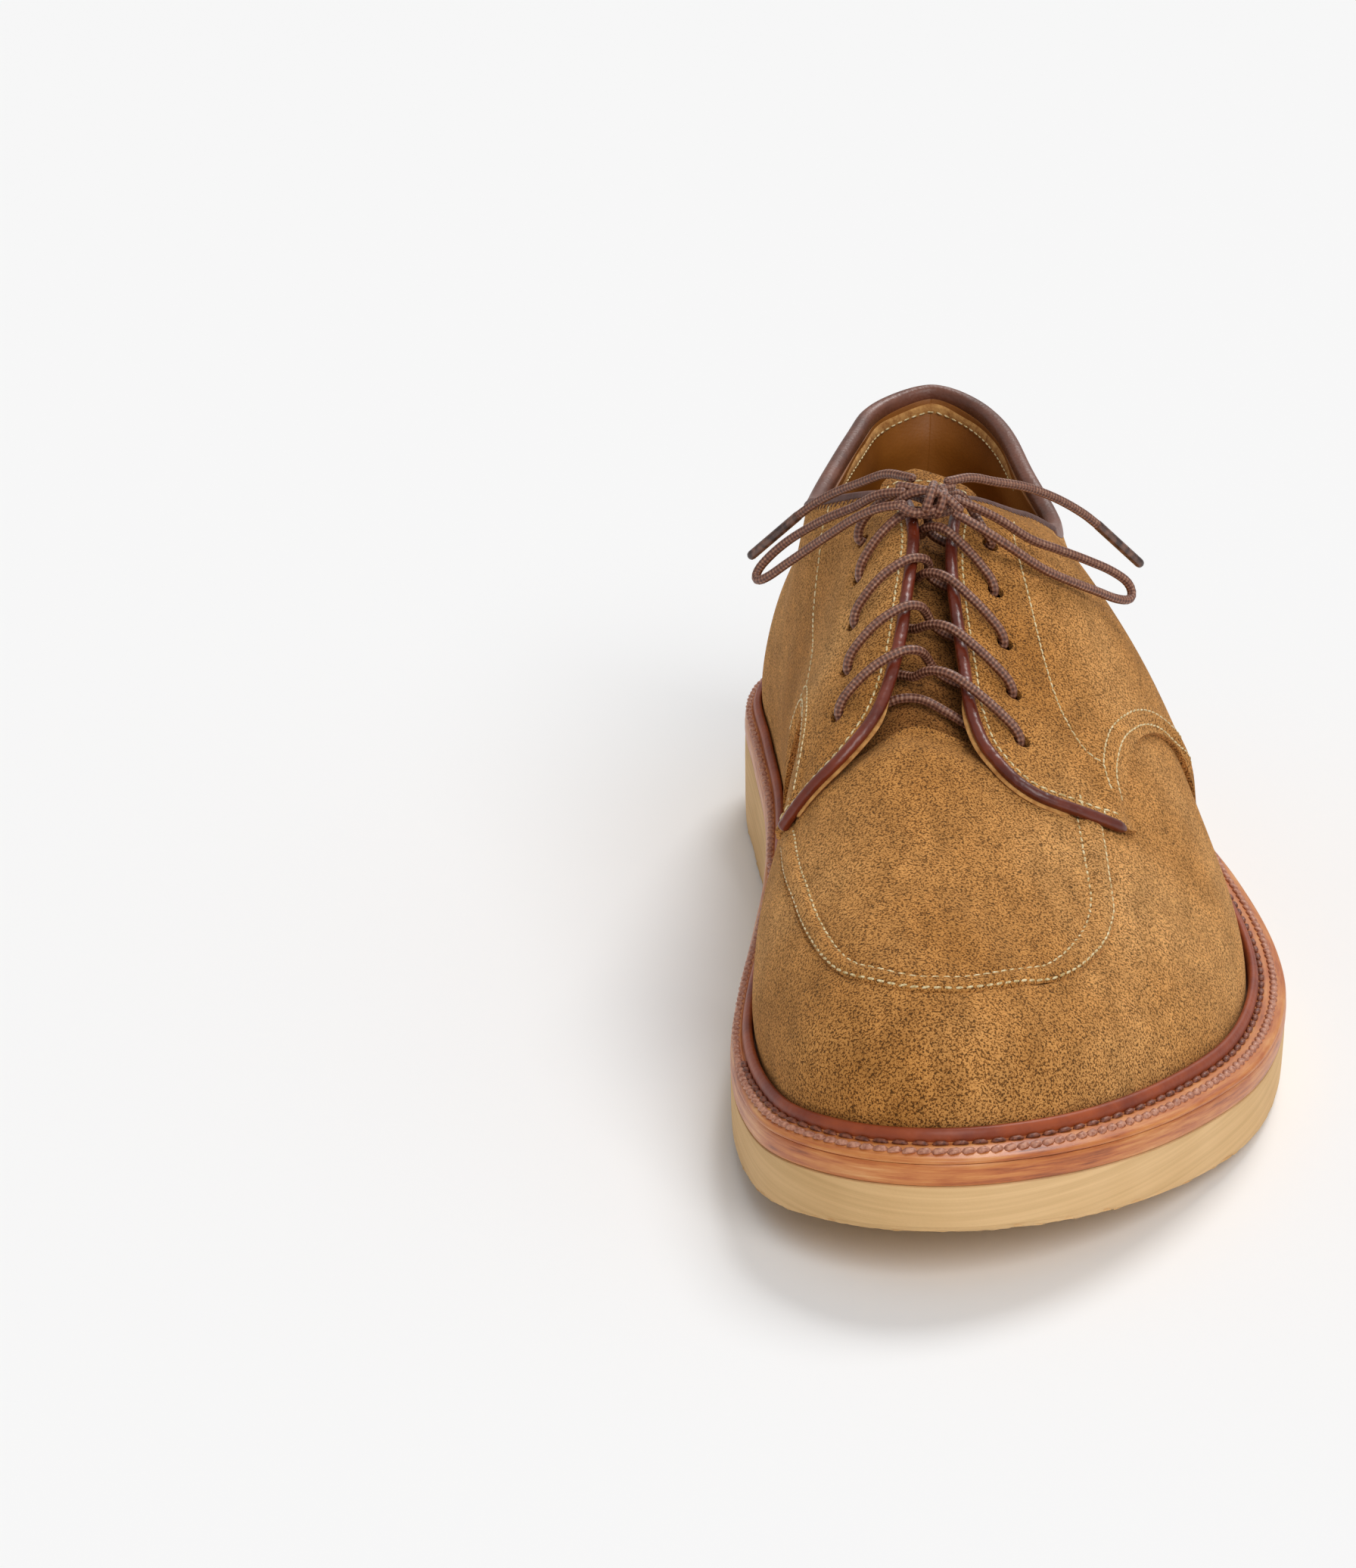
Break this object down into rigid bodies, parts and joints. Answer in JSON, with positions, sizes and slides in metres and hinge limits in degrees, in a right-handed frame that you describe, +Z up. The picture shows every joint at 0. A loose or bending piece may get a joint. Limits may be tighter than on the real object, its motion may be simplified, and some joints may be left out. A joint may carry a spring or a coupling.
{
  "type": "moc-toe lace-up shoe",
  "caption": "Low lace-up suede shoe for the left foot with a moccasin toe, derby quarters, a stitched storm welt and a foam wedge sole.",
  "frame": {"origin": "on the ground, under the middle of the sole's outline", "axes": "+Z up, +Y towards the heel, the toe points to -Y; the medial side is -X and the lateral side +X"},
  "size_m": [0.116, 0.3025, 0.1104],
  "materials": {
    "suede": "brushed nap",
    "lining": "smooth",
    "binding": "waxed, pebbled",
    "welt": "burnished",
    "midsole": "natural cut edge",
    "foam": "matte, expanded",
    "thread": "waxed thread",
    "lace": "waxed round braid",
    "board": "bonded fibre board",
    "cork": "pressed cork",
    "shank": "brushed",
    "aglet": "glossy film"
  },
  "bodies": {
    "shoe": {"aglet_lateral": "aglet", "aglet_medial": "aglet", "apron": "suede", "bow_loop_lateral": "lace", "bow_loop_medial": "lace", "cork_filler": "cork", "heel_counter": "board", "heel_strip": "suede", "insole_board": "board", "lace_bar": "lace", "lace_end_lateral": "lace", "lace_end_medial": "lace", "lace_knot": "lace", "lace_lateral_riser": "lace", "lace_lateral_strand_1": "lace", "lace_lateral_strand_2": "lace", "lace_lateral_strand_3": "lace", "lace_lateral_strand_4": "lace", "lace_medial_riser": "lace", "lace_medial_strand_1": "lace", "lace_medial_strand_2": "lace", "lace_medial_strand_3": "lace", "lace_medial_strand_4": "lace", "lateral_facing_binding": "binding", "lateral_facing_stay": "board", "lateral_quarter": "suede", "lateral_quarter_lining": "lining", "lateral_top_piping": "binding", "medial_facing_binding": "binding", "medial_facing_stay": "board", "medial_quarter": "suede", "medial_quarter_lining": "lining", "medial_top_piping": "binding", "midsole": "midsole", "outsole_wedge": "foam", "shank": "shank", "sock_liner": "lining", "storm_welt": "welt", "toe_puff": "board", "topline_binding": "binding", "vamp_lining": "lining", "vamp_wall": "suede", "welt_lockstitch": "thread"},
    "tongue": {"tongue": "suede"}
  },
  "joints": [
    {"name": "tongue_hinge", "type": "hinge", "parent": "shoe", "child": "tongue", "pos_m": [-0.0175, -0.043, 0.0665], "axis": [1, 0, 0], "range_deg": [-12, 0]}
  ]
}
